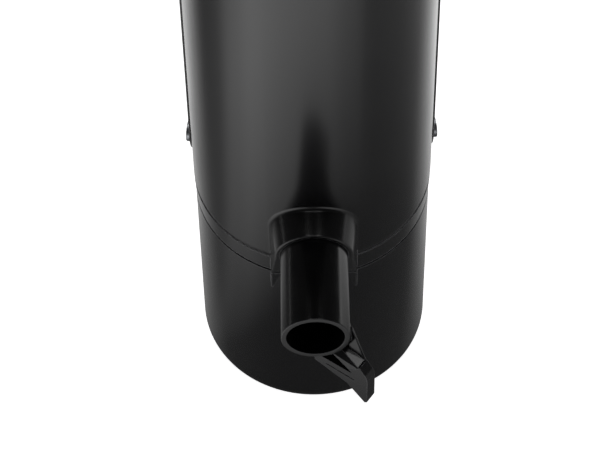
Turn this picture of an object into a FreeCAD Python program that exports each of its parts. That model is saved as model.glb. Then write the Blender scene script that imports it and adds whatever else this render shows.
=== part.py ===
import FreeCAD
import Part
import os
from math import sin, cos, tan, pi, radians, sqrt

os.makedirs("parts", exist_ok=True)

# Immersion circulator for sous vide cooking.
# Millimetres, +Z up, origin at the centre of the foot's flat face.
# The water outlet points along -Y (front); the pot clamp is at the back (+Y).

# ---------------------------------------------------------------- driving dimensions
CASE_R = 30.0            # outer radius of the main casing
CAP_R = 29.7             # outer radius of the end cap
WALL = 1.8               # casing wall
SEAM_Z = 60.0            # height of the seam between cap and casing
SEAM_GAP = 0.7           # visible height of the seam
TAPER_H = 6.5            # band above the seam where the casing narrows to the cap
BASE_EDGE_R = 3.5        # rounding of the cap's bottom edge
FOOT_H = 0.6             # how far the rubber foot stands out of the cap
CASE_TOP = 246.0         # top of the casing tube

SPOUT_Z = SEAM_Z + 19.05  # height of the outlet's axis
SPOUT_R = 8.25           # outer radius of the outlet tube
SPOUT_BORE = 6.95        # bore radius of the outlet tube
MOUTH_Y = -60.3          # plane of the outlet's mouth
HOOD_HALF = 10.75        # half width of the arched boss at its root
HOOD_DRAFT = 0.15        # how much it narrows per millimetre of its reach
HOOD_LOW_Z = SEAM_Z - 7.4
HOOD_FACE = [(-27.85, HOOD_LOW_Z), (-28.6, SEAM_Z), (-36.6, SPOUT_Z - 1.0),
             (-37.6, SPOUT_Z + HOOD_HALF)]      # (y, z) up the boss's face
ROOT_R = 0.9             # fillet where the boss grows out of the casing
RUN = 0.05               # running clearance on a radius

LEVER_ANGLE = 36.0       # blade's plane, turned from the mouth's plane about Z
LEVER_T = 3.2            # blade thickness
LEVER_Y = -58.0          # where the blade's front face passes under the mouth

COIL_R = 22.5            # pitch circle of the heater's runs
ROD_R = 2.75             # radius of the heater's sheath
RUNS = 12                # vertical runs of the heater
BULK_Z = 148.0           # underside of the bulkhead
BULK_T = 5.0
SHAFT_R = 3.0

HEAD_R = 34.0
HEAD_Z = 250.0           # underside of the control head
HEAD_TOP = 320.0         # height of the slanted top on the axis
HEAD_TILT = 20.0         # slope of the top towards the front
HEAD_WALL = 2.2
DIAL_V = -11.0           # dial centre, measured along the slope from the axis
DIAL_R = 13.0
LENS_V = 15.0
LENS_W, LENS_H = 40.0, 16.0

CRADLE_IN, CRADLE_OUT = 30.05, 30.75
CRADLE_EDGE_Y = 1.6      # the shell's vertical front edges
CRADLE_Z0, CRADLE_Z1 = SEAM_Z + 3.0, 196.0
CRADLE_CORNER = 14.0
PIN_AZ = 8.8             # degrees behind the side
PIN_Z = SEAM_Z + 15.4
CLAMP_Z = 163.0          # height of the clamp screw
GAP_IN_Y = 36.0          # inner face of the pot wall's gap
GAP_OUT_Y = 54.0         # rubber pad on the jaw, clamp fully open
JAW_TRAVEL = 16.5        # leaves 1.5 mm between the pads when closed
LEG_Y0, LEG_Y1 = 63.0, 71.0   # the bracket's outer leg, which carries the screw's thread
KNOB_R = 15.0
KNOB_Y0 = LEG_Y1 + JAW_TRAVEL + 2.1
KNOB_Y1 = KNOB_Y0 + 13.0

V = FreeCAD.Vector
X, Y, Z = V(1, 0, 0), V(0, 1, 0), V(0, 0, 1)


# ---------------------------------------------------------------- small helpers
def cyl(r, z0, z1, x=0.0, y=0.0):
    return Part.makeCylinder(r, z1 - z0, V(x, y, z0), Z)


def rod(r, start, end):
    d = end - start
    return Part.makeCylinder(r, d.Length, start, d)


def ring(r_out, r_in, z0, z1, x=0.0, y=0.0):
    return cyl(r_out, z0, z1, x, y).cut(cyl(r_in, z0 - 1, z1 + 1, x, y))


def ring_y(r_out, r_in, y0, y1, z, x=0.0):
    outer = rod(r_out, V(x, y0, z), V(x, y1, z))
    return outer.cut(rod(r_in, V(x, y0 - 1, z), V(x, y1 + 1, z)))


def box(x0, x1, y0, y1, z0, z1):
    return Part.makeBox(x1 - x0, y1 - y0, z1 - z0, V(x0, y0, z0))


def polar(r, deg, z=0.0):
    return V(r * cos(radians(deg)), r * sin(radians(deg)), z)


def turn(shape, deg, centre=V(0, 0, 0), axis=Z):
    s = shape.copy()
    s.rotate(centre, axis, deg)
    return s


def fuse(shapes):
    out = shapes[0]
    if len(shapes) > 1:
        out = out.multiFuse(shapes[1:])
    return out.removeSplitter()


def cut_all(shape, tools):
    for t in tools:
        shape = shape.cut(t)
    return shape


def prism(points, vector):
    wire = Part.makePolygon(list(points) + [points[0]])
    return Part.Face(wire).extrude(vector)


def revolve(profile):
    """Solid of revolution about Z from (radius, height) pairs."""
    pts = [V(r, 0, z) for r, z in profile]
    return Part.Face(Part.makePolygon(pts + [pts[0]])).revolve(V(0, 0, 0), Z, 360)


def round_box(w, h, r, t):
    """Rounded rectangle centred on the origin, w along X, h along Y, from z = 0 to t."""
    b = Part.makeBox(w, h, t, V(-w / 2, -h / 2, 0))
    return b.makeFillet(r, [e for e in b.Edges if abs(e.BoundBox.ZLength - t) < 1e-6])


def bar(start, end):
    """Straight bar between two four-cornered ends, given in the same order; its sides are split into triangles."""
    faces = [(start[0], start[1], start[2]), (start[0], start[2], start[3]),
             (end[0], end[2], end[1]), (end[0], end[3], end[2])]
    for i in range(4):
        j = (i + 1) % 4
        faces += [(start[i], end[i], end[j]), (start[i], end[j], start[j])]
    solid = Part.makeSolid(Part.makeShell([Part.Face(Part.makePolygon(list(f) + [f[0]])) for f in faces]))
    if solid.Volume < 0:
        solid.reverse()
    return solid


def screw(head_r, head_h, shank_r, shank_l, at, direction):
    """A pan-head screw; 'at' is under the head, 'direction' points out of the head."""
    d = V(direction)
    d.normalize()
    head = Part.makeCylinder(head_r, head_h, at, d)
    shank = Part.makeCylinder(shank_r, shank_l, at - d * shank_l, d)
    slot = Part.makeBox(head_r * 1.5, 0.5, head_h * 0.5, V(-head_r * 0.75, -0.25, head_h * 0.55))
    slot.Placement = FreeCAD.Placement(at, FreeCAD.Rotation(Z, d)).multiply(slot.Placement)
    return head.fuse(shank).cut(slot).removeSplitter()


NODES = {}


def keep(name, shape):
    """Store one named piece; a list makes one node of separate solids."""
    if isinstance(shape, list):
        solids = [s for item in shape for s in item.Solids]
    else:
        solids = shape.Solids
    assert solids and all(s.isValid() and s.Volume > 0 for s in solids), name
    NODES[name] = solids[0] if len(solids) == 1 else Part.makeCompound(solids)


# ---------------------------------------------------------------- boss of the outlet
def hood_face_y(z):
    for (y0, z0), (y1, z1) in zip(HOOD_FACE, HOOD_FACE[1:]):
        if z <= z1:
            break
    return y0 + (y1 - y0) * (z - z0) / (z1 - z0)


def hood_half(y):
    return HOOD_HALF + HOOD_DRAFT * (y + 28.0)


def arch_wire(y):
    h = hood_half(y)
    crown = Part.Arc(V(-h, y, SPOUT_Z), V(0, y, SPOUT_Z + h), V(h, y, SPOUT_Z)).toShape()
    legs = Part.makePolygon([V(h, y, SPOUT_Z), V(h, y, HOOD_LOW_Z), V(-h, y, HOOD_LOW_Z), V(-h, y, SPOUT_Z)])
    return Part.Wire([crown] + legs.Edges)


def hood():
    """Arched boss, before it is split at the seam: round top, straight sides, slanted face."""
    body = Part.makeLoft([arch_wire(-20.0), arch_wire(-45.0)], True, True)
    heights = (HOOD_LOW_Z - 5, SEAM_Z, SPOUT_Z - 1.0, SPOUT_Z + 20)
    front = [V(-20, hood_face_y(z), z) for z in heights]
    away = prism(front + [V(-20, -60, heights[-1]), V(-20, -60, heights[0])], V(40, 0, 0))
    solid = body.cut(away).removeSplitter()
    rim = [e for e in solid.Edges
           if all(abs(v.Y - hood_face_y(v.Z)) < 0.05 for v in e.Vertexes)
           and e.BoundBox.ZMax > HOOD_LOW_Z + 0.5 and e.BoundBox.ZLength > 1]
    return solid.makeFillet(0.35, rim)


# ---------------------------------------------------------------- end cap
def intake_slots():
    slots = []
    for i in range(12):
        s = Part.makeBox(10.5, 2.8, 6, V(8.0, -1.4, 0))
        slots.append(turn(s, 30 * i))
    for a in range(50, 131, 10):
        if a in (50, 130):
            continue
        s = box(25.0, 32.0, -1.4, 1.4, 13, 42)
        slots.append(turn(s, a))
    return slots


CAP_TOP = SEAM_Z - SEAM_GAP / 2
CASE_LOW = SEAM_Z + SEAM_GAP / 2
SCREW_AZ = (45.0, 135.0)

cap = cyl(CAP_R, FOOT_H, CAP_TOP)
cap = cap.makeFillet(BASE_EDGE_R, [e for e in cap.Edges if abs(e.BoundBox.ZMax - FOOT_H) < 1e-6])
cap = cap.fuse(hood().common(box(-40, 40, -60, 0, 0, CAP_TOP)))
cavity = cyl(CAP_R - WALL, FOOT_H + 2.5, CAP_TOP + 30)
cavity = cavity.makeFillet(2.0, [e for e in cavity.Edges if abs(e.BoundBox.ZMax - FOOT_H - 2.5) < 1e-6])
cap = cap.cut(cavity)
FOOT = [ring(26.0, 22.0, 0, FOOT_H + 1.0), cyl(6.0, 0, FOOT_H + 1.0)]
cap = cut_all(cap, intake_slots() + FOOT)
for a in SCREW_AZ:
    cap = cap.cut(rod(2.5, polar(28.5, a, 53), polar(32, a, 53))).cut(rod(1.25, polar(24, a, 53), polar(30, a, 53)))
keep("lower_cap", cap.removeSplitter())
keep("foot_pads", FOOT)
keep("cap_seal", ring(28.7, 27.9, CAP_TOP, CASE_LOW))
keep("cap_screws", [screw(2.3, 1.0, 1.2, 2.6, polar(28.5, a, 53), polar(1, a)) for a in SCREW_AZ])

# ---------------------------------------------------------------- casing tube
case = revolve([(CASE_R - WALL, CASE_LOW), (CAP_R, CASE_LOW), (CASE_R - 0.05, CASE_LOW + TAPER_H - 0.6),
                (CASE_R - 0.3, CASE_LOW + TAPER_H - 0.5), (CASE_R, CASE_LOW + TAPER_H + 0.9),
                (CASE_R, CASE_TOP), (CASE_R - WALL, CASE_TOP)])
upper_hood = hood().common(box(-40, 40, -60, 0, CASE_LOW, 200)).cut(cyl(CASE_R - WALL, 0, 200))
spigot = ring(CAP_R - WALL - 0.1, 26.2, 48, CASE_LOW + 4.0).fuse(
    ring(CASE_R - WALL, 26.2, CASE_LOW, CASE_LOW + 4.0))
case = fuse([case, upper_hood, spigot])
roots = [e for e in case.Edges if e.Length > 2 and e.BoundBox.ZMin > SPOUT_Z - 1
         and all(abs(sqrt(p.x ** 2 + p.y ** 2) - CASE_R) < 0.02 and p.y < 0 for p in e.discretize(5))
         and all(abs(sqrt(p.x ** 2 + (p.z - SPOUT_Z) ** 2) - hood_half(p.y)) < 0.05 for p in e.discretize(5))]
case = case.makeFillet(ROOT_R, roots)
case = case.cut(rod(SPOUT_R + 0.1, V(0, -50, SPOUT_Z), V(0, -20, SPOUT_Z)))
case = case.cut(rod(9.2, V(0, -33.0, SPOUT_Z), V(0, -20, SPOUT_Z)))
for a in SCREW_AZ:
    case = case.cut(rod(1.25, polar(24, a, 53), polar(28.2, a, 53)))
for side in (PIN_AZ, 180.0 - PIN_AZ):
    case = case.cut(rod(1.5, polar(26, side, PIN_Z), polar(32, side, PIN_Z)))
keep("casing_tube", case.removeSplitter())

# ---------------------------------------------------------------- turning outlet
keep("spout_bushing", ring_y(9.2, SPOUT_R + RUN, -33.0, -26.6, SPOUT_Z))
spout = ring_y(SPOUT_R, SPOUT_BORE, MOUTH_Y, -23.7, SPOUT_Z)
spout = spout.makeFillet(0.18, [e for e in spout.Edges if abs(e.BoundBox.YMax - MOUTH_Y) < 1e-6])
flange = ring_y(9.1, SPOUT_R - 0.5, -24.9, -23.7, SPOUT_Z)
keep("outlet_spout", spout.fuse(flange).removeSplitter())
keep("spout_seal", ring_y(9.0, SPOUT_R, -26.2, -24.9, SPOUT_Z))


def lever():
    """Collar on the tube behind its mouth, with a ribbed blade standing down and forward."""
    a = radians(LEVER_ANGLE)
    h, n = V(cos(a), -sin(a), 0), V(sin(a), cos(a), 0)
    root = V(-0.4, LEVER_Y, SPOUT_Z - 12.6)

    def at(u, w, back=0.0):
        return root + h * u + Z * w + n * back

    def plate(outline, t0=0.0, t1=LEVER_T):
        return prism([at(u, w, t0) for u, w in outline], n * (t1 - t0))

    blade = plate([(0.2, 0.0), (7.0, -1.7), (9.3, -2.0), (11.4, -3.7), (14.8, -6.5), (15.5, -5.8), (15.5, 3.7),
                   (14.9, 5.2), (13.2, 7.4), (10.5, 4.3), (10.9, 3.2), (2.3, 3.0), (0.2, 3.0)])
    slit = plate([(3.4, 0.75), (11.8, 0.75), (11.8, 1.15), (3.4, 1.15)], -1.0, LEVER_T * 0.7)
    # The strut runs from the blade's shoulder back to the tube's lower right rim.
    foot = [at(11.0, 3.5, 0.04), at(13.8, 6.4, 0.04), at(13.8, 6.4, LEVER_T - 0.04), at(11.0, 3.5, LEVER_T - 0.04)]
    y0, y1 = -56.0, -58.8
    crown = [V(3.9, y1 - 1.3, SPOUT_Z - 7.0), V(6.1, y1 - 1.3, SPOUT_Z - 5.2), V(6.1, y0, SPOUT_Z - 5.2),
             V(3.9, y0, SPOUT_Z - 7.0)]
    strut = bar(crown, foot)
    # A thin web behind the strut, standing off the tube's right side.
    web_low = [at(12.2, 5.0, 2.2), at(14.2, 4.6, 2.2), at(14.2, 4.6, 3.0), at(12.2, 5.0, 3.0)]
    web_top = [V(6.6, -57.6, SPOUT_Z - 3.6), V(8.8, -57.6, SPOUT_Z - 0.8), V(8.8, -56.5, SPOUT_Z - 0.8),
               V(6.6, -56.5, SPOUT_Z - 3.6)]
    web = bar(web_top, web_low)
    low = V(0.3, 0, SPOUT_Z - 2.3)
    collar = rod(8.25, low + Y * y0, low + Y * y1).cut(box(-20, 20, -70, -50, SPOUT_Z + 0.6, SPOUT_Z + 20))
    whole = collar.fuse(blade.cut(slit)).fuse(strut).fuse(web)
    whole = whole.cut(rod(SPOUT_R, V(0, MOUTH_Y, SPOUT_Z), V(0, -50, SPOUT_Z)))
    return max(whole.removeSplitter().Solids, key=lambda s: s.Volume)


keep("spout_lever", lever())

# ---------------------------------------------------------------- pump
pump = ring(18.6, 16.0, 68, 88).fuse(cyl(18.6, 68, 70))
pump = pump.cut(cyl(7.0, 60, 72))
pump = pump.fuse(rod(7.8, V(0, -14, SPOUT_Z), V(0, -23.2, SPOUT_Z)).cut(cyl(17.0, 60, 100)))
pump = pump.cut(rod(6.2, V(0, -10, SPOUT_Z), V(0, -30, SPOUT_Z)))
pump_holes = [rod(0.75, polar(17.3, a, 84), polar(17.3, a, 95)) for a in (45, 135, 225, 315)]
pump = cut_all(pump, pump_holes)
keep("pump_housing", pump.removeSplitter())
cover = cyl(18.6, 88, 91).cut(cyl(5.6, 80, 95))
cover = cut_all(cover, pump_holes)
keep("pump_cover", cover)
keep("shaft_seal", ring(5.6, SHAFT_R + RUN, 88, 92.5))
keep("pump_screws", [screw(1.25, 1.2, 0.7, 6.5, polar(17.3, a, 91), Z) for a in (45, 135, 225, 315)])
POST_AZ = (30, 150, 270)
keep("pump_posts", [cyl(2.0, 91, BULK_Z, *polar(12.5, a)[:2]) for a in POST_AZ])

hub = ring(5.2, SHAFT_R, 72, 84)
disc = ring(14.0, SHAFT_R, 82.4, 84)
vanes = []
for i in range(7):
    vane = box(4.6, 13.6, -0.6, 0.6, 73.5, 83)
    vane.rotate(V(4.6, 0, 0), Z, -28)
    vanes.append(turn(vane, i * 360 / 7))
impeller = fuse([hub, disc] + vanes).cut(cyl(SHAFT_R, 60, 90))
keep("impeller", impeller)
keep("drive_shaft", cyl(SHAFT_R, 71.2, 218.5))

# ---------------------------------------------------------------- heater, probe, level pins
CHORD = 2 * COIL_R * sin(pi / RUNS)
LOOP_R = CHORD / 2
RUN_LOW, RUN_HIGH = 8.0 + LOOP_R + ROD_R - 2.0, 49.5
FIRST = 105.0


def heater():
    """One sheathed element in vertical runs and half-round bends; its two ends go up to the bulkhead."""
    pieces = []
    for i in range(RUNS):
        p = polar(COIL_R, FIRST + i * 360.0 / RUNS)
        top = BULK_Z + BULK_T + 5.0 if i in (0, RUNS - 1) else RUN_HIGH
        pieces.append(cyl(ROD_R, RUN_LOW, top, p.x, p.y))
    for i in range(RUNS - 1):
        p = polar(COIL_R, FIRST + i * 360.0 / RUNS)
        q = polar(COIL_R, FIRST + (i + 1) * 360.0 / RUNS)
        z = RUN_LOW if i % 2 == 0 else RUN_HIGH
        mid = (p + q) * 0.5 + V(0, 0, z)
        along = q - p
        along.normalize()
        side = along.cross(Z)
        circle = Part.Circle(mid + along * LOOP_R, Z, ROD_R)
        face = Part.Face(Part.Wire(circle.toShape()))
        pieces.append(face.revolve(mid, side, -180 if i % 2 == 0 else 180))
    return fuse(pieces)


keep("heater_coil", heater())
PROBE_XY = polar(20.0, 40.0)
keep("temperature_probe", cyl(2.2, 100, BULK_Z + BULK_T + 6, PROBE_XY.x, PROBE_XY.y))
LEVEL_AZ = (135.0, 147.0)
keep("level_pins", [cyl(1.5, z, BULK_Z + BULK_T + 4, *polar(21.5, a)[:2]) for a, z in zip(LEVEL_AZ, (104, 122))])

# ---------------------------------------------------------------- bulkhead and motor
BT = BULK_Z + BULK_T
bulk = cyl(CASE_R - WALL, BULK_Z, BT).cut(cyl(8.0, 140, 160))
bulk = bulk.cut(ring(30, 26.8, BULK_Z + 1.8, BULK_Z + 3.2))
holes = [(ROD_R, COIL_R, FIRST), (ROD_R, COIL_R, FIRST - 30.0), (2.2, 20.0, 40.0)]
holes += [(1.5, 21.5, a) for a in LEVEL_AZ]
for r, pc, a in holes:
    p = polar(pc, a)
    bulk = bulk.cut(cyl(r, 140, 160, p.x, p.y))
keep("bulkhead", bulk)
keep("bulkhead_seal", ring(CASE_R - WALL, 26.8, BULK_Z + 1.8, BULK_Z + 3.2))
keep("motor_spacers", [cyl(2.2, BT, 160, *polar(13.5, a)[:2]) for a in POST_AZ])
can = cyl(19.0, 160, 206).cut(cyl(17.5, 161.5, 203)).cut(cyl(3.6, 150, 165)).cut(cyl(6.5, 200, 210))
for i in range(8):
    can = can.cut(turn(box(12, 25, -1.5, 1.5, 172, 192), 22.5 + 45 * i))
keep("motor_can", can)
keep("shaft_bearings", [ring(8.0, SHAFT_R + RUN, BULK_Z, BT), ring(6.5, SHAFT_R + RUN, 203, 206)])
stator = ring(17.5, 12.2, 164, 200)
keep("motor_stator", stator)
rotor = ring(11.6, SHAFT_R, 166, 198)
keep("motor_rotor", rotor)

fan_hub = ring(6.0, SHAFT_R, 209.5, 217)
blades = [fan_hub]
for i in range(7):
    b = box(5.0, 20.0, -4.0, 4.0, -0.5, 0.5)
    b.rotate(V(0, 0, 0), X, 32)
    b.translate(V(0, 0, 213.2))
    blades.append(turn(b, i * 360 / 7))
keep("cooling_fan", fuse(blades).cut(cyl(SHAFT_R, 200, 230)))

ROD_Z = 226.0
keep("frame_rods", [cyl(1.8, BT, ROD_Z, *polar(24.5, a)[:2]) for a in POST_AZ])
board = cyl(27.0, ROD_Z, ROD_Z + 1.6)
keep("control_board", board)
PB = ROD_Z + 1.6
base = box(-20, -3, -9, 9, PB, PB + 2.5)
fins = [box(-20 + 3.5 * i, -18.4 + 3.5 * i, -9, 9, PB + 2, PB + 15) for i in range(5)]
keep("heat_sink", fuse([base] + fins))
keep("power_parts", [box(2, 18, -14, 2, PB, PB + 13), cyl(4.0, PB, PB + 14, 6, 9), cyl(4.0, PB, PB + 14, 15.5, 9),
                     box(-6, 2, 13, 22, PB, PB + 8), cyl(2.5, PB, PB + 6, -13, 16)])

# ---------------------------------------------------------------- control head
TILT = radians(HEAD_TILT)
SLOPE_V = V(0, cos(TILT), sin(TILT))
SLOPE_N = V(0, -sin(TILT), cos(TILT))
TOP = V(0, 0, HEAD_TOP)


def on_top(shape, v, n=0.0):
    """Place a shape built about the origin onto the slanted top, v along the slope, n above it."""
    s = shape.copy()
    s.Placement = FreeCAD.Placement(TOP + SLOPE_V * v + SLOPE_N * n, FreeCAD.Rotation(X, HEAD_TILT)).multiply(s.Placement)
    return s


def head_solid(r_low, r, z0, z1, drop):
    """Column that widens from r_low to r, cut by the slanted top lowered by 'drop'."""
    s = revolve([(0, z0), (r_low, z0), (r, z1), (r, 360), (0, 360)])
    roof = Part.makeBox(200, 200, 100, V(-100, -100, 0))
    return s.cut(on_top(roof, 0, -drop))


def tz(r, n0, n1):
    return Part.makeCylinder(r, n1 - n0, V(0, 0, n0), Z)


shell = head_solid(31.2, HEAD_R, HEAD_Z, HEAD_Z + 7, 0)
rim = [e for e in shell.Edges if e.BoundBox.ZMin > HEAD_TOP - 20 and e.BoundBox.YLength > 40]
shell = shell.makeFillet(3.0, rim)
shell = shell.cut(head_solid(31.2 - HEAD_WALL - 0.8, HEAD_R - HEAD_WALL, HEAD_Z, HEAD_Z + 7, 2.6))
window = round_box(LENS_W - 5, LENS_H - 5, 1.0, 10)
pocket = round_box(LENS_W, LENS_H, 2.5, 5)
shell = shell.cut(on_top(window, LENS_V, -6)).cut(on_top(pocket, LENS_V, -1.5))
shell = shell.cut(on_top(tz(7.0 + RUN, -6, 4), DIAL_V))
for i in range(7):
    z = 262.0 + 4.5 * i
    shell = shell.cut(box(-13, 13, 20, 40, z, z + 2.0))
GLAND_Z = 304.0
shell = shell.cut(rod(5.0, V(0, 20, GLAND_Z), V(0, 40, GLAND_Z)))
keep("head_shell", shell)
keep("head_trim", ring(31.2, CASE_R - WALL, CASE_TOP, HEAD_Z))
keep("display_lens", on_top(round_box(LENS_W, LENS_H, 2.5, 1.5), LENS_V, -1.5))
keep("display_board", on_top(round_box(LENS_W - 6, LENS_H + 2, 1.0, 1.4), LENS_V, -5.0))

dial = tz(DIAL_R, 0.4, 7.0).cut(tz(5.45, -20, 20))
dial = dial.makeFillet(1.2, [e for e in dial.Edges if abs(e.BoundBox.ZMin - 7.0) < 1e-6 and e.BoundBox.XLength > 20])
for i in range(24):
    groove = Part.makeCylinder(0.55, 10, V(DIAL_R + 0.15, 0, 1.4), Z)
    dial = dial.cut(turn(groove, 15 * i))
dial = dial.fuse(tz(7.0, -5.2, 0.6).cut(tz(5.45, -20, 20))).removeSplitter()
keep("control_dial", on_top(dial, DIAL_V))
keep("dial_clip", on_top(tz(8.6, -4.8, -3.8).cut(tz(7.0, -20, 20)), DIAL_V))
button = tz(5.1, -1.0, 6.4)
button = button.makeFillet(0.6, [e for e in button.Edges if abs(e.BoundBox.ZMin - 6.4) < 1e-6])
button = button.fuse(tz(2.0, -7.4, -0.5)).removeSplitter()
keep("start_button", on_top(button, DIAL_V))
keep("dial_board", on_top(round_box(26, 20, 2, 1.4), DIAL_V, -12.4))
keep("button_switch", on_top(round_box(6, 6, 0.5, 2.2), DIAL_V, -11.0))

gland = ring_y(7.0, 3.6, HEAD_R - 0.2, 43.0, GLAND_Z)
gland = gland.fuse(ring_y(5.0, 3.6, 27.6, HEAD_R, GLAND_Z))
gland = gland.cut(cyl(HEAD_R, 280, 330).cut(rod(5.0, V(0, 20, GLAND_Z), V(0, 50, GLAND_Z))))
keep("cord_gland", gland.removeSplitter())
nut = ring_y(8.0, 5.0, 28.0, 30.4, GLAND_Z)
keep("gland_nut", nut)

# ---------------------------------------------------------------- clamp
cradle = ring(CRADLE_OUT, CRADLE_IN, CRADLE_Z0, CRADLE_Z1).cut(box(-40, 40, -40, CRADLE_EDGE_Y, 0, 300))
corner = box(-40, 40, CRADLE_EDGE_Y - 1, CRADLE_EDGE_Y + CRADLE_CORNER, CRADLE_Z0 - 1, CRADLE_Z0 + CRADLE_CORNER)
corner = corner.cut(Part.makeCylinder(CRADLE_CORNER, 80, V(-40, CRADLE_EDGE_Y + CRADLE_CORNER,
                                                          CRADLE_Z0 + CRADLE_CORNER), X))
cradle = cradle.cut(corner)
pins = []
for side in (PIN_AZ, 180.0 - PIN_AZ):
    shank = rod(1.5, polar(27.0, side, PIN_Z), polar(31.0, side, PIN_Z))
    head = rod(2.8, polar(30.72, side, PIN_Z), polar(31.6, side, PIN_Z)).cut(cyl(CRADLE_OUT, 0, 200))
    head = head.makeFillet(0.25, [e for e in head.Edges if e.Length > 15 and e.CenterOfMass.distanceToPoint(
        polar(31.6, side, PIN_Z)) < 0.2])
    pins.append(shank.fuse(head).removeSplitter())
    cradle = cradle.cut(rod(1.5, polar(26, side, PIN_Z), polar(33, side, PIN_Z)))

JAW_Z0, JAW_Z1 = CLAMP_Z - 13.0, CLAMP_Z + 13.0
bracket = box(-13, 13, 25, GAP_IN_Y - 2.0, 136, 196).cut(cyl(CRADLE_OUT, 100, 250))
bracket = bracket.fuse(box(-13, 13, GAP_IN_Y - 2.0, LEG_Y1, 186, 196))
leg = box(-13, 13, LEG_Y0, LEG_Y1, CLAMP_Z - 11, 196)
bracket = bracket.fuse(leg).removeSplitter()
outer = [e for e in bracket.Edges if e.BoundBox.XLength > 25 and e.BoundBox.YMin > 60 and e.BoundBox.ZMax > 195]
bracket = bracket.makeFillet(6.0, outer)
sides = [e for e in bracket.Edges if e.BoundBox.XLength < 1e-6 and abs(abs(e.CenterOfMass.x) - 13) < 1e-6
         and e.BoundBox.YMin > GAP_IN_Y - 1.9]
bracket = bracket.makeFillet(1.2, sides)
bracket = bracket.cut(rod(4.0, V(0, 60, CLAMP_Z), V(0, 90, CLAMP_Z)))
screw_spots = [(-8.5, 142.0), (8.5, 142.0)]
for x, z in screw_spots:
    bracket = bracket.cut(rod(1.5, V(x, 20, z), V(x, 40, z)))
    cradle = cradle.cut(rod(1.5, V(x, 20, z), V(x, 40, z)))
keep("clamp_cradle", cradle)
keep("cradle_pins", pins)
keep("clamp_bracket", bracket)
keep("bracket_screws", [screw(2.8, 1.6, 1.45, 5.0, V(x, GAP_IN_Y - 2.0, z), Y) for x, z in screw_spots])
keep("rim_pad", box(-11, 11, GAP_IN_Y - 2.0, GAP_IN_Y, 150, 182))

jaw = box(-12, 12, GAP_OUT_Y + 2.5, GAP_OUT_Y + 6.5, JAW_Z0, JAW_Z1)
jaw = jaw.makeFillet(3.0, [e for e in jaw.Edges if abs(e.BoundBox.YLength - 4.0) < 1e-6 and e.BoundBox.XLength < 1])
jaw = jaw.makeFillet(0.8, [e for e in jaw.Edges if abs(e.CenterOfMass.y - GAP_OUT_Y - 6.5) < 1e-6
                           and e.BoundBox.YLength < 1e-6])
jaw = jaw.cut(rod(5.0 + RUN, V(0, GAP_OUT_Y + 4.5, CLAMP_Z), V(0, 80, CLAMP_Z)))
keep("clamp_jaw", jaw)
pad = box(-11, 11, GAP_OUT_Y, GAP_OUT_Y + 2.5, JAW_Z0 + 1, JAW_Z1 - 1)
keep("jaw_pad", pad)
SCREW_Y0 = GAP_OUT_Y + 4.5 + 0.3
bolt = rod(5.0, V(0, SCREW_Y0, CLAMP_Z), V(0, SCREW_Y0 + 1.6, CLAMP_Z)).fuse(
    rod(4.0 - RUN, V(0, SCREW_Y0, CLAMP_Z), V(0, KNOB_Y1 - 2.0, CLAMP_Z)))
keep("clamp_screw", bolt.removeSplitter())
knob = rod(KNOB_R, V(0, KNOB_Y0, CLAMP_Z), V(0, KNOB_Y1, CLAMP_Z))
knob = knob.makeFillet(2.0, [e for e in knob.Edges if abs(e.Length - 2 * pi * KNOB_R) < 0.1])
for i in range(6):
    groove = rod(5.0, V(0, KNOB_Y0 - 1, CLAMP_Z + 18.2), V(0, KNOB_Y1 + 1, CLAMP_Z + 18.2))
    knob = knob.cut(turn(groove, 60 * i, V(0, 0, CLAMP_Z), Y))
knob = knob.fuse(rod(6.5, V(0, KNOB_Y0 - 1.6, CLAMP_Z), V(0, KNOB_Y0 + 0.5, CLAMP_Z)))
knob = knob.cut(rod(4.0 - RUN, V(0, 80, CLAMP_Z), V(0, KNOB_Y1 + 5, CLAMP_Z)))
knob = knob.cut(rod(7.0, V(0, KNOB_Y1 - 1.4, CLAMP_Z), V(0, KNOB_Y1 + 5, CLAMP_Z)))
keep("clamp_knob", knob.removeSplitter())
knob_cap = rod(7.0, V(0, KNOB_Y1 - 1.4, CLAMP_Z), V(0, KNOB_Y1 + 0.4, CLAMP_Z))
keep("knob_cap", knob_cap.makeFillet(0.3, [e for e in knob_cap.Edges if e.BoundBox.YMin > KNOB_Y1]))

# ---------------------------------------------------------------- export
for name, shape in NODES.items():
    shape.exportStep("parts/%s.step" % name)
    b = shape.BoundBox
    print("%-18s %2d solid(s) %10.1f mm3  x %.1f..%.1f  y %.1f..%.1f  z %.1f..%.1f" % (
        name, len(shape.Solids), shape.Volume, b.XMin, b.XMax, b.YMin, b.YMax, b.ZMin, b.ZMax))
print(len(NODES), "nodes")
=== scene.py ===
from math import atan2, cos, degrees, hypot, pi, radians, sin

import bpy
from mathutils import Matrix, Vector


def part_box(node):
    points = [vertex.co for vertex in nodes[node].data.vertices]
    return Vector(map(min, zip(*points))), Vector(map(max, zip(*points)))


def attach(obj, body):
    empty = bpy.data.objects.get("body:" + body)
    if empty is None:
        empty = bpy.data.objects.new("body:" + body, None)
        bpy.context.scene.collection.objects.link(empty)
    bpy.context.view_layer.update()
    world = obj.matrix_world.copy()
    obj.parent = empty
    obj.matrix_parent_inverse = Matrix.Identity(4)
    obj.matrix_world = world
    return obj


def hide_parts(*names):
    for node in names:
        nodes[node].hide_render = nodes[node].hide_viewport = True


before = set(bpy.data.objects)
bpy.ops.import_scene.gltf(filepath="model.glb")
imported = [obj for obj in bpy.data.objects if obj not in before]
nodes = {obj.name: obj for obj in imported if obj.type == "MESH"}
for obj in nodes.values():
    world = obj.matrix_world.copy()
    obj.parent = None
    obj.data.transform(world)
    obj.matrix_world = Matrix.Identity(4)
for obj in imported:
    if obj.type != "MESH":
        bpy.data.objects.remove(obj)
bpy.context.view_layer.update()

MM = 0.001

# ------------------------------------------------------------------ colour and node helpers


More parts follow.
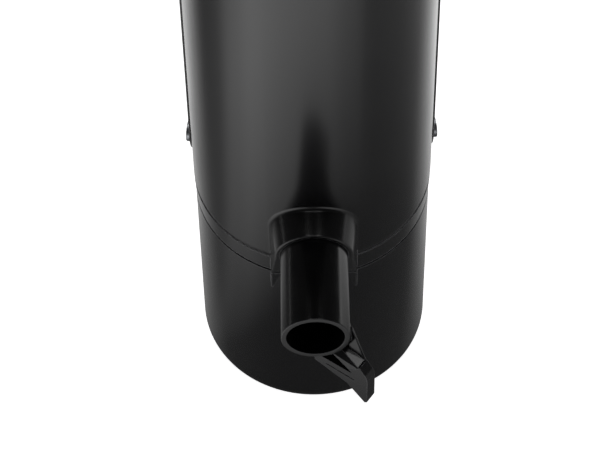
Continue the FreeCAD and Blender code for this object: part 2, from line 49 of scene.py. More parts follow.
def srgb(hex_code):
    """Six hex digits in sRGB to the linear colour a shader takes."""
    parts = [int(hex_code[i:i + 2], 16) / 255 for i in (0, 2, 4)]
    return [c / 12.92 if c <= 0.04045 else ((c + 0.055) / 1.055) ** 2.4 for c in parts] + [1.0]


def add_node(tree, kind, settings=None, links=None):
    """One node with its settings (attributes or unlinked sockets) and its incoming links."""
    made = tree.nodes.new(kind)
    for key, value in (settings or {}).items():
        if isinstance(key, str) and hasattr(made, key):
            setattr(made, key, value)
        else:
            made.inputs[key].default_value = value
    for key, source in (links or {}).items():
        tree.links.new(source, made.inputs[key])
    return made


def start_material(name, **sockets):
    """An empty finish: its shader with the constant sockets set on it, and the object coordinates."""
    material = bpy.data.materials.new(name)
    material.use_nodes = True
    tree = material.node_tree
    tree.nodes.clear()
    shader = add_node(tree, "ShaderNodeBsdfPrincipled", {k.replace("_", " "): v for k, v in sockets.items()})
    add_node(tree, "ShaderNodeOutputMaterial", links={"Surface": shader.outputs[0]})
    place = add_node(tree, "ShaderNodeTexCoord").outputs["Object"]
    return material, tree, shader, place


def vary(tree, socket, factor, start, end, low=0.35, high=0.7):
    """Let a socket run from start to end, two hex colours or two numbers, as the factor goes from low to high."""
    ends = (0.0, 1.0) if isinstance(start, str) else (start, end)
    share = add_node(tree, "ShaderNodeMapRange", {"From Min": low, "From Max": high, "To Min": ends[0],
                                                  "To Max": ends[1]}, {"Value": factor}).outputs[0]
    if isinstance(start, str):
        share = add_node(tree, "ShaderNodeMix", {"data_type": "RGBA", 6: srgb(start), 7: srgb(end)},
                         {0: share}).outputs[2]
    tree.links.new(share, socket)


def relief(tree, height, depth_mm, edge_mm=0.0):
    """Surface relief of a real depth, over edges that catch light as if broken to a small radius."""
    bump = add_node(tree, "ShaderNodeBump", {"Strength": 1.0, "Distance": depth_mm * MM}, {"Height": height})
    if edge_mm:
        edge = add_node(tree, "ShaderNodeBevel", {"samples": 4, "Radius": edge_mm * MM})
        tree.links.new(edge.outputs[0], bump.inputs["Normal"])
    return bump.outputs[0]


def painted_edge_highlight(tree, socket, patches, edge_mm, tone):
    """Painted highlight along the edges, paler in patches: found where a broken edge leans off the face.
    Feeds the socket, and gives back the input for the colour of the faces."""
    # painted highlight: edges are coloured paler where the bevelled normal leans off the face
    leaning = add_node(tree, "ShaderNodeBevel", {"samples": 6, "Radius": edge_mm * MM}).outputs[0]
    facing = add_node(tree, "ShaderNodeNewGeometry").outputs["Normal"]
    match = add_node(tree, "ShaderNodeVectorMath", {"operation": "DOT_PRODUCT"}, {0: leaning, 1: facing})
    amount = add_node(tree, "ShaderNodeMath", {"operation": "MULTIPLY"})
    vary(tree, amount.inputs[0], match.outputs["Value"], 1.0, 0.0, 0.90, 0.995)
    vary(tree, amount.inputs[1], patches, 0.55, 1.0, 0.3, 0.7)
    mixed = add_node(tree, "ShaderNodeMix", {"data_type": "RGBA", 7: srgb(tone)}, {0: amount.outputs[0]})
    tree.links.new(mixed.outputs[2], socket)
    return mixed.inputs[6]


def moulded(name, dark, light, rough, rough_spread, grain_mm, depth_mm, cloud_mm=30.0, edge_mm=0.0,
            edge_highlight_tone=None, **sockets):
    """Moulded, cast or sprayed finish: grain in the surface, slow clouds in colour and gloss, and a painted
    highlight along the edges when a highlight tone is given.
    """
    low, high = 0.45, 0.9
    material, tree, shader, place = start_material(name, **sockets)
    cloud = add_node(tree, "ShaderNodeTexNoise", {"Scale": 1000 / cloud_mm, "Detail": 3.0}, {"Vector": place})
    grain = add_node(tree, "ShaderNodeTexNoise", {"Scale": 1000 / grain_mm, "Detail": 2.0}, {"Vector": place})
    blend = add_node(tree, "ShaderNodeMath", {"operation": "MULTIPLY_ADD", 1: 0.35},
                     {0: grain.outputs[0], 2: cloud.outputs[0]}).outputs[0]
    colour = shader.inputs["Base Color"]
    # painted highlight: the edges are coloured paler in the given tone, in patches
    if edge_highlight_tone:
        colour = painted_edge_highlight(tree, colour, cloud.outputs[0], edge_mm, edge_highlight_tone)
    vary(tree, colour, blend, dark, light, low, high)
    vary(tree, shader.inputs["Roughness"], blend, rough, rough + rough_spread, low, high)
    tree.links.new(relief(tree, grain.outputs[0], depth_mm, edge_mm), shader.inputs["Normal"])
    return material


def tooled(name, dark, light, rough, rough_spread, line_mm, depth_mm, stretch, edge_mm=0.0, **sockets):
    """Metal worked by a tool: fine lines drawn out along the axis that 'stretch' squeezes, over 17 mm stains."""
    low, high = 0.4, 1.0
    material, tree, shader, place = start_material(name, Metallic=1.0, **sockets)
    drawn = add_node(tree, "ShaderNodeMapping", {"Scale": stretch}, {"Vector": place}).outputs[0]
    lines = add_node(tree, "ShaderNodeTexNoise", {"Scale": 1000 / line_mm, "Detail": 4.0, "Roughness": 0.6},
                     {"Vector": drawn}).outputs[0]
    stain = add_node(tree, "ShaderNodeTexNoise", {"Scale": 60.0, "Detail": 2.0}, {"Vector": place}).outputs[0]
    blend = add_node(tree, "ShaderNodeMath", {"operation": "MULTIPLY_ADD", 1: 0.4},
                     {0: stain, 2: lines}).outputs[0]
    vary(tree, shader.inputs["Base Color"], blend, dark, light, low, high)
    vary(tree, shader.inputs["Roughness"], blend, rough, rough + rough_spread, low, high)
    tree.links.new(relief(tree, lines, depth_mm, edge_mm), shader.inputs["Normal"])
    return material


# ------------------------------------------------------------------ finishes

# Injection-moulded ABS from a finely blasted mould: an even satin black that mirrors light as soft bands. The real
# grain is about 0.1 mm; it is drawn at 0.5 mm so that it shows.
# Its edges carry a painted highlight in pale grey, 78787a.
satin_abs = moulded("satin_abs_moulded", "08080a", "0d0d0e", 0.20, 0.05, 0.5, 0.002, edge_mm=0.4,
                    edge_highlight_tone="78787a", IOR=1.5)
# The same ABS where hands turn it and water leaves it: handled a touch glossier and patchier, with a painted
# highlight along its edges.
satin_abs_handled = moulded("satin_abs_handled", "08080a", "0f0f10", 0.17, 0.06, 0.4, 0.002, cloud_mm=6.0,
                            edge_mm=0.3, edge_highlight_tone="525254", IOR=1.42)
# Glass-filled nylon with an etched texture: a shade paler than the casing it wraps, with a painted highlight along
# its edges.
cradle_nylon = moulded("etched_nylon", "0b0b0c", "101011", 0.18, 0.06, 0.7, 0.004, edge_mm=0.5,
                       edge_highlight_tone="8a8a8c", IOR=1.53)
# Glass-filled polypropylene, moulded: dark grey, waxy, with faint flow clouds from the fibres.
inner_polymer = moulded("glass_filled_polypropylene", "2a2a2c", "3a3a3d", 0.42, 0.12, 0.8, 0.015, cloud_mm=9.0,
                        edge_mm=0.2, IOR=1.49)
# Compression-moulded nitrile rubber: matt, slightly dusty black with a fine skin.
nitrile = moulded("nitrile_rubber_moulded", "131313", "222221", 0.62, 0.18, 0.6, 0.03, cloud_mm=12.0, edge_mm=0.2,
                  IOR=1.52)
# Epoxy powder coat on steel: satin black with a low orange-peel ripple about 1.5 mm across.
powder_coat = moulded("powder_coated_steel", "111112", "1a1a1b", 0.36, 0.10, 1.5, 0.03, cloud_mm=14.0, edge_mm=0.3,
                      IOR=1.5, Coat_Weight=0.15, Coat_Roughness=0.25)
# Soft-touch paint over ABS: velvety dark grey, wide highlight, a little sheen at grazing angles.
soft_touch = moulded("soft_touch_paint", "161617", "202022", 0.48, 0.10, 0.35, 0.006, cloud_mm=8.0, edge_mm=0.2,
                     IOR=1.47, Sheen_Weight=0.15, Sheen_Roughness=0.4)
# Silicone key, lightly frosted: pale grey with a faint mottle.
grey_silicone = moulded("frosted_silicone", "8c8f92", "a4a7aa", 0.45, 0.12, 0.4, 0.008, cloud_mm=4.0, edge_mm=0.3,
                        IOR=1.43, Subsurface_Weight=0.05, Subsurface_Scale=0.002)
# Natural nylon, moulded: milky off-white, slightly glossy.
white_nylon = moulded("natural_nylon", "c9c7bd", "dedcd2", 0.35, 0.12, 0.6, 0.01, cloud_mm=10.0, IOR=1.53)
# Epoxy and phenolic component bodies: dull charcoal with a fine mould texture.
component_epoxy = moulded("moulded_epoxy", "1c1c1e", "2b2b2e", 0.45, 0.15, 0.5, 0.02, cloud_mm=7.0, IOR=1.55)
# Stoved enamel on the motor's steel can and laminations: soft black with thin spots of wear.
motor_enamel = moulded("stoved_enamel", "1e1e20", "2c2c2f", 0.30, 0.18, 1.2, 0.02, cloud_mm=9.0, IOR=1.52)
# Stainless steel brushed round its ring: fine level lines, bright and slightly warm.
brushed_steel = tooled("brushed_stainless", "8f8d88", "bab8b3", 0.24, 0.14, 1.2, 0.006, (0.08, 0.08, 4.0),
                       edge_mm=0.2)
# Heater sheath, annealed stainless: duller and warmer, with faint straw heat tint in patches.
sheath_steel = tooled("annealed_sheath_steel", "75706a", "a39c90", 0.32, 0.2, 2.5, 0.01, (1.0, 1.0, 0.3))
# Turned free-cutting steel: bright, with fine tool rings across the axis.
turned_steel = tooled("turned_steel", "77797c", "a3a5a8", 0.25, 0.15, 1.0, 0.012, (3.0, 3.0, 0.6), edge_mm=0.12)
# Extruded aluminium, as sawn: pale silver with long draw lines.
extruded_aluminium = tooled("extruded_aluminium", "a5a7aa", "c6c8cb", 0.3, 0.16, 1.5, 0.01,
                            (3.0, 0.1, 3.0))


def display_window():
    """Cast acrylic, printed black behind: deep gloss, faintly hazed in 8 mm streaks where a cloth has wiped it."""
    material, tree, shader, place = start_material("smoked_acrylic", IOR=1.49, Coat_Weight=1.0,
                                                   Coat_Roughness=0.03)
    wipe = add_node(tree, "ShaderNodeMapping", {"Scale": (1.0, 6.0, 1.0), "Rotation": (0.0, 0.0, 0.5)},
                    {"Vector": place}).outputs[0]
    haze = add_node(tree, "ShaderNodeTexNoise", {"Scale": 120.0, "Detail": 5.0}, {"Vector": wipe}).outputs[0]
    vary(tree, shader.inputs["Base Color"], haze, "060607", "0b0b0d")
    vary(tree, shader.inputs["Roughness"], haze, 0.04, 0.11)
    return material


def circuit_board():
    """Woven glass-fibre board under green solder resist: glossy, 0.8 mm weave, paler tracks 4 mm long."""
    material, tree, shader, place = start_material("solder_resist_board", IOR=1.55, Coat_Weight=0.4,
                                                   Coat_Roughness=0.15)
    tracks = add_node(tree, "ShaderNodeTexBrick", {"Scale": 260.0, "offset": 0.5, "Mortar Size": 0.03,
                                                   "Color1": srgb("0f4a2c"), "Color2": srgb("0c3f26"),
                                                   "Mortar": srgb("2c7a4c")}, {"Vector": place})
    weave = add_node(tree, "ShaderNodeTexChecker", {"Scale": 1250.0}, {"Vector": place})
    tree.links.new(tracks.outputs[0], shader.inputs["Base Color"])
    vary(tree, shader.inputs["Roughness"], weave.outputs[1], 0.28, 0.38, 0.0, 1.0)
    tree.links.new(relief(tree, tracks.outputs["Fac"], 0.03), shader.inputs["Normal"])
    return material


def copper_wire():
    """Enamelled copper wound in level turns 0.8 mm apart over the core's laminations, with painted shade darkening
    the grooves between turns.
    """
    material, tree, shader, place = start_material("enamelled_copper", Metallic=1.0, Coat_Weight=0.5,
                                                   Coat_Roughness=0.12)
    turns = add_node(tree, "ShaderNodeTexWave", {"wave_type": "BANDS", "bands_direction": "Z", "Scale": 390.0,
                                                 "Distortion": 0.6, "Detail": 1.0, "Detail Scale": 3.0},
                     {"Vector": place}).outputs[1]
    # painted shade: the copper is darker where the turns sink into the grooves between them
    vary(tree, shader.inputs["Base Color"], turns, "5e2c12", "b9693a", 0.1, 0.9)
    vary(tree, shader.inputs["Roughness"], turns, 0.3, 0.2, 0.0, 1.0)
    tree.links.new(relief(tree, turns, 0.2), shader.inputs["Normal"])
    return material


def display_light():
    """Moulded diffuser over a blue-white lamp: each bar a little uneven, in clouds of 1.4 mm."""
    glow, strength = "a9d8f5", 1.2
    material, tree, shader, place = start_material("display_light", Roughness=0.35)
    spread = add_node(tree, "ShaderNodeTexNoise", {"Scale": 700.0, "Detail": 1.0}, {"Vector": place}).outputs[0]
    vary(tree, shader.inputs["Base Color"], spread, glow, "f4fbff")
    vary(tree, shader.inputs["Emission Color"], spread, glow, "e9f6ff", 0.2, 0.9)
    vary(tree, shader.inputs["Emission Strength"], spread, strength * 0.8, strength * 1.1)
    return material


smoked_acrylic = display_window()
solder_resist = circuit_board()
enamelled_copper = copper_wire()
blue_white_light = display_light()

FINISH = {
    satin_abs: "lower_cap casing_tube head_shell",
    satin_abs_handled: "outlet_spout spout_lever",
    cradle_nylon: "clamp_cradle",
    inner_polymer: "spout_bushing pump_housing pump_cover gland_nut knob_cap",
    nitrile: "foot_pads cap_seal spout_seal shaft_seal bulkhead_seal rim_pad jaw_pad cord_gland",
    brushed_steel: "head_trim bulkhead",
    sheath_steel: "heater_coil temperature_probe level_pins",
    turned_steel: "cap_screws pump_screws pump_posts drive_shaft shaft_bearings cradle_pins bracket_screws "
                  "clamp_screw frame_rods motor_spacers",
    extruded_aluminium: "heat_sink",
    enamelled_copper: "motor_stator",
    motor_enamel: "motor_rotor motor_can",
    powder_coat: "clamp_bracket clamp_jaw",
    solder_resist: "control_board display_board dial_board",
    component_epoxy: "power_parts button_switch",
    smoked_acrylic: "display_lens",
    white_nylon: "impeller cooling_fan dial_clip",
    soft_touch: "control_dial clamp_knob",
    grey_silicone: "start_button",
}
for finish, names in FINISH.items():
    for name in names.split():
        nodes[name].data.materials.clear()
        nodes[name].data.materials.append(finish)

# ------------------------------------------------------------------ modelling helpers

bpy.ops.object.select_all(action="DESELECT")
bpy.context.tool_settings.mesh_select_mode = (False, False, True)


def choose(piece, test):
    """In edit mode, select only the faces whose middle and normal pass the test."""
    if piece.mode == "EDIT":
        bpy.ops.object.mode_set(mode="OBJECT")
    for group in (piece.data.vertices, piece.data.edges):
        group.foreach_set("select", [False] * len(group))
    piece.data.polygons.foreach_set("select", [bool(test(f.center, f.normal)) for f in piece.data.polygons])
    bpy.ops.object.mode_set(mode="EDIT")


def raise_by(z):
    """Extrude the chosen faces and lift them by millimetres; 0 leaves a rim that the next step sizes."""
    bpy.ops.mesh.extrude_region_move(TRANSFORM_OT_translate={"value": (0, 0, z * MM)})


def scale_about_axis(factor, z=0.0):
    """Size the chosen faces about the Z axis, their heights kept."""
    bpy.ops.transform.resize(value=(factor, factor, 1), center_override=(0, 0, z * MM))


def top(z):
    """Test for the flat faces that look up (or down, with a negative z) at that height in millimetres."""
    side = 1 if z >= 0 else -1
    return lambda c, n: n.z * side > 0.9 and abs(c.z - abs(z) * side * MM) < 1e-5


def apply_all(piece, **modifiers):
    """Add each modifier, named by its kind, with its settings, and apply it."""
    if piece.mode == "EDIT":
        bpy.ops.object.mode_set(mode="OBJECT")
    for kind, settings in modifiers.items():
        modifier = piece.modifiers.new(kind.lower(), kind)
        for key, value in settings.items():
            setattr(modifier, key, value)
        bpy.ops.object.modifier_apply(modifier=modifier.name)


def broken_edges(width_mm, segments=2, angle=40):
    """Settings that round every edge sharper than the angle."""
    return {"BEVEL": {"width": width_mm * MM, "segments": segments, "limit_method": "ANGLE",
                      "angle_limit": radians(angle), "harden_normals": False}}


def seat(piece, name, finish, body, at=(0, 0, 0), tilt=0.0, replaces=()):
    """Put a finished piece in its place, with the place in its mesh, and let it ride on its body."""
    if piece.mode == "EDIT":
        bpy.ops.mesh.select_all(action="SELECT")
        bpy.ops.mesh.normals_make_consistent(inside=False)
        bpy.ops.object.mode_set(mode="OBJECT")
    bpy.ops.object.select_all(action="DESELECT")
    piece.select_set(True)
    bpy.context.view_layer.objects.active = piece
    piece.name = piece.data.name = name
    piece.location = at
    piece.rotation_euler = (radians(tilt), 0, 0)
    bpy.ops.object.transform_apply(location=True, rotation=True, scale=True)
    bpy.ops.object.shade_smooth_by_angle(angle=radians(32))
    piece.data.materials.clear()
    piece.data.materials.append(finish)
    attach(piece, body)
    if replaces:
        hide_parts(*replaces)
    bpy.ops.object.select_all(action="DESELECT")
    return piece


def turned(steps, sides=64):
    """A turned blank along Z: the end face is drawn out and sized step by step through (radius, height) pairs."""
    radius, height = steps[0]
    bpy.ops.mesh.primitive_circle_add(vertices=sides, radius=radius * MM, fill_type="NGON",
                                      location=(0, 0, height * MM))
    piece = bpy.context.object
    bpy.ops.object.transform_apply(location=True)
    bpy.ops.object.mode_set(mode="EDIT")
    bpy.ops.mesh.select_all(action="SELECT")
    for next_radius, next_height in steps[1:]:
        raise_by(next_height - height)
        scale_about_axis(next_radius / radius, next_height)
        radius, height = next_radius, next_height
    bpy.ops.mesh.select_all(action="SELECT")
    bpy.ops.mesh.normals_make_consistent(inside=False)
    return piece


def cylinder(sides, radius, z0, z1):
    """A closed cylinder along Z from z0 to z1."""
    bpy.ops.mesh.primitive_cylinder_add(vertices=sides, radius=radius * MM, depth=(z1 - z0) * MM,
                                        location=(0, 0, (z0 + z1) / 2 * MM))
    bpy.ops.object.transform_apply(location=True)
    return bpy.context.object


def another(piece, x=0.0, y=0.0, z=0.0, turn=0.0):
    """A copy with its own mesh, turned about Z and moved by millimetres."""
    copy = piece.copy()
    copy.data = piece.data.copy()
    copy.data.transform(Matrix.Translation((x * MM, y * MM, z * MM)) @ Matrix.Rotation(radians(turn), 4, "Z"))
    bpy.context.scene.collection.objects.link(copy)
    return copy


def joined(pieces):
    """One mesh of several."""
    bpy.ops.object.select_all(action="DESELECT")
    for piece in pieces:
        piece.select_set(True)
    bpy.context.view_layer.objects.active = pieces[0]
    bpy.ops.object.join()
    return pieces[0]


def around(c):
    """Degrees about the Z axis, from 0 to 360."""
    return degrees(atan2(c.y, c.x)) % 360


# ------------------------------------------------------------------ clamp

knob_low, knob_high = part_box("clamp_knob")
screw_low, screw_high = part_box("clamp_screw")
CLAMP_Z = (screw_low.z + screw_high.z) / 2
BACKWARD = -90.0          # turns a piece built along +Z to point along +Y


def lobed_knob():
    """Six-lobed knob: lobes drawn out of a blank, every edge broken, a hub behind and a seat for the cap."""
    waist, lobe, thick, hub, seat_depth = 12.9, 14.9, 13.0, 1.6, 1.4
    piece = cylinder(36, waist, 0.0, thick)
    choose(piece, lambda c, n: abs(n.z) < 0.1 and not 20 < around(c) % 60 < 40)
    raise_by(0)
    scale_about_axis(lobe / waist)
    choose(piece, top(thick))
    bpy.ops.mesh.inset(thickness=5.4 * MM)
    raise_by(-seat_depth)
    choose(piece, lambda c, n: n.z < -0.9 and hypot(c.x, c.y) < 1 * MM)
    bpy.ops.mesh.inset(thickness=6.4 * MM)
    raise_by(-hub)
    apply_all(piece, **broken_edges(1.1, 3))
    return seat(piece, "clamp_knob_lobed", soft_touch, "knob",
                (0, knob_low.y + hub * MM, CLAMP_Z), BACKWARD, ("clamp_knob",))


def threaded_screw():
    """Coarse clamp screw: a plain core with a thrust collar and a helical ridge of 3 mm pitch wound on it."""
    root, collar, collar_thick, pitch = 3.4, 4.95, 1.6, 3.0
    length = (screw_high.y - screw_low.y) / MM
    core = cylinder(48, root, collar_thick, length)
    choose(core, lambda c, n: n.z < -0.9)
    raise_by(0)
    scale_about_axis(collar / root)
    raise_by(-collar_thick)
    choose(core, top(length))
    bpy.ops.mesh.inset(thickness=0.5 * MM)
    bpy.ops.transform.translate(value=(0, 0, -0.3 * MM))
    apply_all(core, **broken_edges(0.25, 2))
    bpy.ops.mesh.primitive_circle_add(vertices=6, radius=0.62 * MM, location=(3.32 * MM, 0, 3.4 * MM),
                                      rotation=(radians(90), 0, 0))
    ridge = bpy.context.object
    ridge.scale = (1.0, 1.35, 1.0)
    bpy.ops.object.transform_apply(location=True, rotation=True, scale=True)
    apply_all(ridge, SCREW={"axis": "Z", "angle": 2 * pi, "screw_offset": pitch * MM, "iterations": 9,
                            "steps": 32, "render_steps": 32})
    bpy.ops.object.mode_set(mode="EDIT")
    bpy.ops.mesh.select_all(action="SELECT")
    bpy.ops.mesh.fill_holes(sides=0)
    bpy.ops.mesh.select_all(action="SELECT")
    bpy.ops.mesh.normals_make_consistent(inside=False)
    bpy.ops.object.mode_set(mode="OBJECT")
    piece = joined([core, ridge])
    return seat(piece, "clamp_screw_threaded", turned_steel, "knob",
                (0, screw_low.y, CLAMP_Z), BACKWARD, ("clamp_screw",))


def ribbed_pad(name, node, body, width, height, thick, outward, rows):
    """Rubber pad with level ribs: every second row of a slab is drawn out and its edges are rounded."""
    rib = 0.8
    low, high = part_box(node)
    bpy.ops.mesh.primitive_grid_add(x_subdivisions=1, y_subdivisions=rows, size=1)
    piece = bpy.context.object
    piece.scale = (width * MM, height * MM, 1)
    bpy.ops.object.transform_apply(scale=True)
    bpy.ops.object.mode_set(mode="EDIT")
    bpy.ops.mesh.select_all(action="SELECT")
    raise_by(thick - rib)
    step = height / rows
    choose(piece, lambda c, n: abs(n.z) > 0.9 and c.z > 0.1 * MM
           and int((c.y / MM + height / 2) / step) % 2 == 1)
    raise_by(rib)
    bpy.ops.mesh.select_all(action="SELECT")
    bpy.ops.mesh.normals_make_consistent(inside=False)
    apply_all(piece, **broken_edges(0.25, 2))
    back = low.y if outward > 0 else high.y
    return seat(piece, name, nitrile, body, ((low.x + high.x) / 2, back, (low.z + high.z) / 2),
                BACKWARD * outward, (node,))


def cross_screws():
    """Pan-head screws: a crowned head with a cross recess sunk into it."""
    head_thick, slot, reach, sunk, apart = 1.6, 0.3, 1.35, 0.8, 8.5
    low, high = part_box("bracket_screws")
    under = high.y / MM - head_thick
    head = turned([(1.4, -5.0), (1.4, 0.0), (2.75, 0.0), (2.8, 0.7), (2.55, 1.15), (2.0, 1.5),
                   (1.9, head_thick)], 40)
    crown = top(head_thick)
    for half in (slot, reach):
        for across in (Vector((1, 0, 0)), Vector((0, 1, 0))):
            for side in (-1, 1):
                choose(head, crown)
                bpy.ops.mesh.bisect(plane_co=across * side * half * MM, plane_no=across)
    choose(head, lambda c, n: crown(c, n) and min(abs(c.x), abs(c.y)) < slot * MM
           and max(abs(c.x), abs(c.y)) < reach * MM)
    raise_by(-sunk)
    bpy.ops.object.mode_set(mode="OBJECT")
    pair = [another(head, x=-apart, turn=20), another(head, x=apart, turn=65)]
    bpy.data.objects.remove(head)
    return seat(joined(pair), "bracket_screws_crosshead", turned_steel, "case",
                (0, under * MM, (low.z + high.z) / 2), BACKWARD, ("bracket_screws",))


# ------------------------------------------------------------------ control head

HEAD_TILT = 20.0
TOP_MIDDLE = Vector((0, 0, 320 * MM))
DIAL_V, LENS_V = -11.0, 15.0          # how far up the slope the dial and the display are


def on_slope(v, n=0.0):
    """A point on the slanted top, v up the slope from the middle and n above it, in millimetres."""
    a = radians(HEAD_TILT)
    return TOP_MIDDLE + Vector((0, cos(a), sin(a))) * v * MM + Vector((0, -sin(a), cos(a))) * n * MM


def knurled_dial():
    """Dial with 36 flutes, a dished face and a bore for the button; its sleeve goes down through the top."""
    valley, ridge, under, face = 12.45, 12.95, 0.4, 7.0
    piece = cylinder(72, valley, under, face)
    choose(piece, lambda c, n: abs(n.z) < 0.1 and int(around(c) // 5) % 2 == 0)
    raise_by(0)
    scale_about_axis(ridge / valley)
    choose(piece, top(face))
    bpy.ops.mesh.inset(thickness=1.3 * MM)
    bpy.ops.mesh.inset(thickness=0.5 * MM)
    bpy.ops.transform.translate(value=(0, 0, -0.7 * MM))
    bpy.ops.mesh.inset(thickness=5.15 * MM)
    raise_by(-4.0)
    choose(piece, lambda c, n: n.z < -0.9 and hypot(c.x, c.y) < 1 * MM)
    bpy.ops.mesh.inset(thickness=5.5 * MM)
    raise_by(-5.5)
    bpy.ops.mesh.inset(thickness=1.45 * MM)
    choose(piece, lambda c, n: abs(n.z) > 0.9 and hypot(c.x, c.y) < 1 * MM)
    bpy.ops.mesh.bridge_edge_loops()
    apply_all(piece, **broken_edges(0.16, 2))
    return seat(piece, "control_dial_fluted", soft_touch, "dial", on_slope(DIAL_V), HEAD_TILT,
                ("control_dial",))


def dial_pointer():
    """Raised pointer on the dial's dished face."""
    bpy.ops.mesh.primitive_cube_add(size=1, location=(0, 8.1 * MM, 6.45 * MM),
                                    scale=(0.9 * MM, 3.6 * MM, 0.5 * MM))
    piece = bpy.context.object
    bpy.ops.object.transform_apply(location=True, scale=True)
    choose(piece, lambda c, n: n.y > 0.9)
    bpy.ops.transform.resize(value=(0.35, 1, 1))
    apply_all(piece, **broken_edges(0.14, 2))
    return seat(piece, "dial_pointer", grey_silicone, "dial", on_slope(DIAL_V), HEAD_TILT)


def dial_bezel():
    """Thin brushed ring let into the top round the dial."""
    piece = turned([(14.9, -0.2), (14.9, 0.3), (14.6, 0.45), (13.7, 0.45), (13.5, 0.3), (13.5, 0.05)], 96)
    return seat(piece, "dial_bezel", brushed_steel, "case", on_slope(DIAL_V), HEAD_TILT)


# Which bars of a seven-bar figure are lit: top, upper right, lower right, bottom, lower left, upper left, middle.
FIGURES = {"0": "1111110", "6": "1011111"}
# Where each bar's middle is in its figure, in millimetres, and its turn in degrees.
BARS = [(0, 3.6, 0), (1.9, 1.8, 90), (1.9, -1.8, 90), (0, -3.6, 0), (-1.9, -1.8, 90), (-1.9, 1.8, 90),
        (0, 0, 0)]


def display_figures():
    """Generic temperature figures: bars with mitred ends, lit from behind, a point and a small ring."""
    bpy.ops.mesh.primitive_cube_add(size=1, scale=(3.1 * MM, 0.85 * MM, 0.1 * MM))
    bar = bpy.context.object
    bpy.ops.object.transform_apply(scale=True)
    choose(bar, lambda c, n: abs(n.x) > 0.9)
    bpy.ops.mesh.extrude_region_move()
    bpy.ops.transform.resize(value=(1.14, 0.3, 1), center_override=(0, 0, 0))
    bpy.ops.object.mode_set(mode="OBJECT")
    lit = []
    for place, figure in zip((-9.0, -2.6, 5.4), "600"):
        for on, (x, y, turn) in zip(FIGURES[figure], BARS):
            if on == "1":
                lit.append(another(bar, x=place + x, y=y, turn=turn))
    bpy.data.objects.remove(bar)
    point = turned([(0.5, -0.05), (0.5, 0.03), (0.35, 0.05)], 20)
    bpy.ops.object.mode_set(mode="OBJECT")
    lit.append(another(point, x=1.4, y=-3.6))
    ring = turned([(0.95, -0.05), (0.95, 0.05), (0.55, 0.05), (0.55, -0.03)], 28)
    bpy.ops.object.mode_set(mode="OBJECT")
    lit.append(another(ring, x=10.2, y=3.2))
    for start in (point, ring):
        bpy.data.objects.remove(start)
    return seat(joined(lit), "display_figures", blue_white_light, "case",
                on_slope(LENS_V, 0.04), HEAD_TILT)


def ribbed_gland():
    """Cord gland: a rubber sleeve with flexing grooves, bored for the cord."""
    low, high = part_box("cord_gland")
    piece = turned([(4.9, 28.0), (4.9, 33.0), (6.95, 33.0), (6.95, 35.4), (6.2, 35.8), (6.2, 36.6), (6.8, 37.0),
                    (6.8, 37.9), (5.9, 38.3), (5.9, 39.1), (6.5, 39.5), (6.5, 40.4), (5.6, 40.8), (5.6, 41.6),
                    (5.9, 42.0), (5.7, 42.8), (5.3, 43.0), (3.9, 43.0), (3.6, 42.7), (3.6, 29.0)], 56)
    apply_all(piece, **broken_edges(0.18, 2, 30))
    return seat(piece, "cord_gland_ribbed", nitrile, "case", (0, 0, (low.z + high.z) / 2), BACKWARD,
                ("cord_gland",))


def vent_screen():
    """Woven dust screen of 1.7 mm mesh behind the vent slots in the back of the head."""
    radius, low, high, mesh, wire = 31.4, 259.5, 293.5, 1.7, 0.3
    bpy.ops.mesh.primitive_cylinder_add(vertices=120, radius=radius * MM, depth=(high - low) * MM,
                                        location=(0, 0, (low + high) / 2 * MM), end_fill_type="NOTHING")
    piece = bpy.context.object
    bpy.ops.object.transform_apply(location=True)
    choose(piece, lambda c, n: not (c.y > 0 and abs(c.x) < 15.5 * MM))
    bpy.ops.mesh.delete(type="FACE")
    bpy.ops.mesh.select_all(action="SELECT")
    bpy.ops.mesh.subdivide(number_cuts=1)
    for level in range(1, round((high - low) / mesh)):
        bpy.ops.mesh.select_all(action="SELECT")
        bpy.ops.mesh.bisect(plane_co=(0, 0, (low + mesh * level) * MM), plane_no=(0, 0, 1))
    apply_all(piece, WIREFRAME={"thickness": wire * MM, "use_replace": True, "use_boundary": True})
    return seat(piece, "vent_screen", turned_steel, "case")


lobed_knob()
threaded_screw()
ribbed_pad("rim_pad_ribbed", "rim_pad", "case", 22.0, 32.0, 2.0, 1, 21)
ribbed_pad("jaw_pad_ribbed", "jaw_pad", "jaw", 22.0, 24.0, 2.5, -1, 15)
cross_screws()
knurled_dial()
dial_pointer()
dial_bezel()
display_figures()
ribbed_gland()
vent_screen()

# ------------------------------------------------------------------ floor, light and camera


GLOW, SHADE, BACK = 1.5, 0.08, 1.05      # strengths of the card: far glow, shade close by, and behind
# Heading in degrees from straight ahead, left negative, and the share of the far glow there.
GLOW_HEADINGS = [(-105, 0.02), (-85, 0.10), (-66, 0.60), (-48, 1.0), (-15, 0.95), (10, 0.88), (33, 0.52),
                 (50, 0.16), (80, 0.14), (105, 0.18)]
GLOW_MIDDLE = (0.02, -0.03, 0.0)         # the glow grows with the distance from here, in metres
GLOW_STARTS, GLOW_FULL = 0.052, 0.151
WEDGE_STARTS, WEDGE_FULL = -0.032, 0.044   # the pale part behind, across its slanted edge
LEFT_END, LEFT_SHARE = -0.10, 0.12       # the pale part close by weakens to this share towards the left
NEAR_ENDS, FAR_STARTS = 0.17, 0.30


def unseen_light_card():
    """A printed light card flat on the floor that only gloss sees: dark close by and to the right, glowing further
    off ahead and to the left, pale behind. It gives the black walls their long soft bands."""
    bpy.ops.mesh.primitive_circle_add(vertices=64, radius=1.6, fill_type="NGON", location=(0, 0, 0.4 * MM))
    card = bpy.context.object
    card.name = "light_card"
    for ray in ("visible_camera", "visible_diffuse", "visible_shadow", "visible_transmission"):
        setattr(card, ray, False)
    card.data.materials.append(graded_glow())


